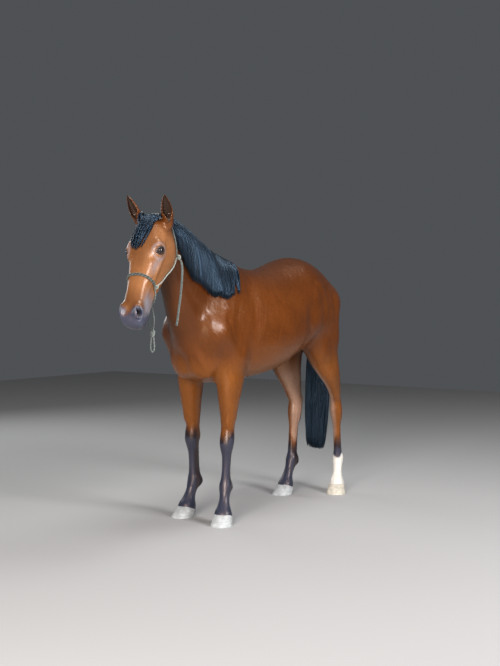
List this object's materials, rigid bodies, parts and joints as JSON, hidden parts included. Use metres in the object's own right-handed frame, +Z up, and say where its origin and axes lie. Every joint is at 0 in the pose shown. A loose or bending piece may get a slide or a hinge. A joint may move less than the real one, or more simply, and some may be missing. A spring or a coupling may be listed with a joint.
{
  "type": "horse",
  "caption": "Standing bay riding horse as a still life-size model, neck turned a little to its left, with a knotted rope halter and no lead.",
  "frame": {"origin": "on the floor under the middle of the horse's bounding box, without the free rope end", "axes": "+X towards the horse's head, +Y to its left side, +Z up"},
  "size_m": [2.3002, 0.5728, 1.8722],
  "materials": {
    "skin": "short glossy bay coat with black points",
    "eye": "wet dark brown",
    "hoof": "dusty horn",
    "hair": "coarse blue-black hair",
    "rope": "braided grey-green cord"
  },
  "bodies": {
    "root": {"trunk": "skin", "neck": "skin", "head": "skin", "left_ear": "skin", "right_ear": "skin", "left_foreleg": "skin", "right_foreleg": "skin", "left_hind_leg": "skin", "right_hind_leg": "skin", "left_eye": "eye", "right_eye": "eye", "left_fore_hoof": "hoof", "right_fore_hoof": "hoof", "left_hind_hoof": "hoof", "right_hind_hoof": "hoof", "mane": "hair", "forelock": "hair", "tail": "hair", "halter_left_knot": "rope", "halter_right_knot": "rope", "halter_tie_knot": "rope", "halter_chin_knot": "rope", "halter_nose_upper": "rope", "halter_nose_lower": "rope", "halter_left_cheek": "rope", "halter_right_cheek": "rope", "halter_crown": "rope", "halter_left_jaw": "rope", "halter_right_jaw": "rope", "halter_lead_loop": "rope", "halter_free_end": "rope"}
  },
  "joints": []
}
